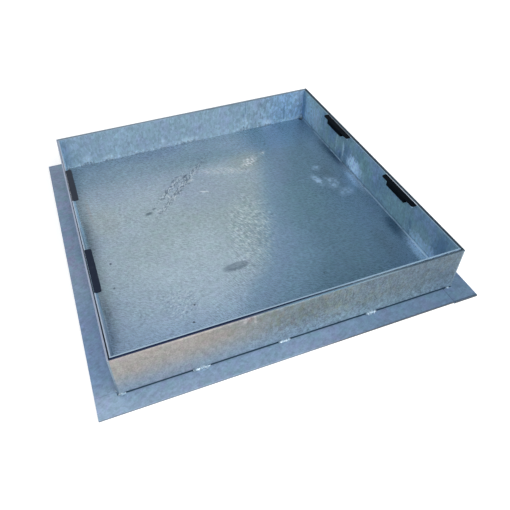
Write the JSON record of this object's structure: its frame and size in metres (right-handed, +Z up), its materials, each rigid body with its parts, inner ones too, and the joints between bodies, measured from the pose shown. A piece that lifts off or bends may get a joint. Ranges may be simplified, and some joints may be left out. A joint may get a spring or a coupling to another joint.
{
  "type": "recessed paving cover",
  "caption": "Square galvanised steel access cover: a shallow tray that takes paving, resting in a stitch-welded frame with a flat bedding flange, with black plugs over its key slots.",
  "frame": {"origin": "centre of the flange's footprint, on its underside", "axes": "+X to the right along the front edge, +Y to the back, +Z up, out of the ground"},
  "size_m": [0.705, 0.714, 0.1],
  "materials": {
    "frame_steel": "hot-dip galvanised plate, dull and mottled",
    "bar_steel": "hot-dip galvanised flat bar, dull and bluish",
    "tray_steel": "hot-dip galvanised sheet, satin with fine scratches",
    "weld": "galvanised weld bead, bright and lumpy",
    "plug": "black moulded plastic, satin"
  },
  "bodies": {
    "root": {"flange_bar_front": "bar_steel", "flange_bar_right": "bar_steel", "flange_bar_back": "bar_steel", "flange_bar_left": "bar_steel", "frame_wall_left": "frame_steel", "frame_wall_right": "frame_steel", "frame_wall_front": "frame_steel", "frame_wall_back": "frame_steel", "foot_weld_front": "weld", "foot_weld_right": "weld", "foot_weld_back": "weld", "foot_weld_left": "weld", "tray_pan": "tray_steel", "tray_end_front": "tray_steel", "tray_end_back": "tray_steel", "tray_weld_back": "weld", "tray_weld_front": "weld", "stiffener_1": "tray_steel", "stiffener_2": "tray_steel", "stiffener_3": "tray_steel", "stiffener_4": "tray_steel", "stiffener_5": "tray_steel", "key_plug_left_front": "plug", "key_plug_left_back": "plug", "key_plug_right_front": "plug", "key_plug_right_back": "plug"}
  },
  "joints": []
}
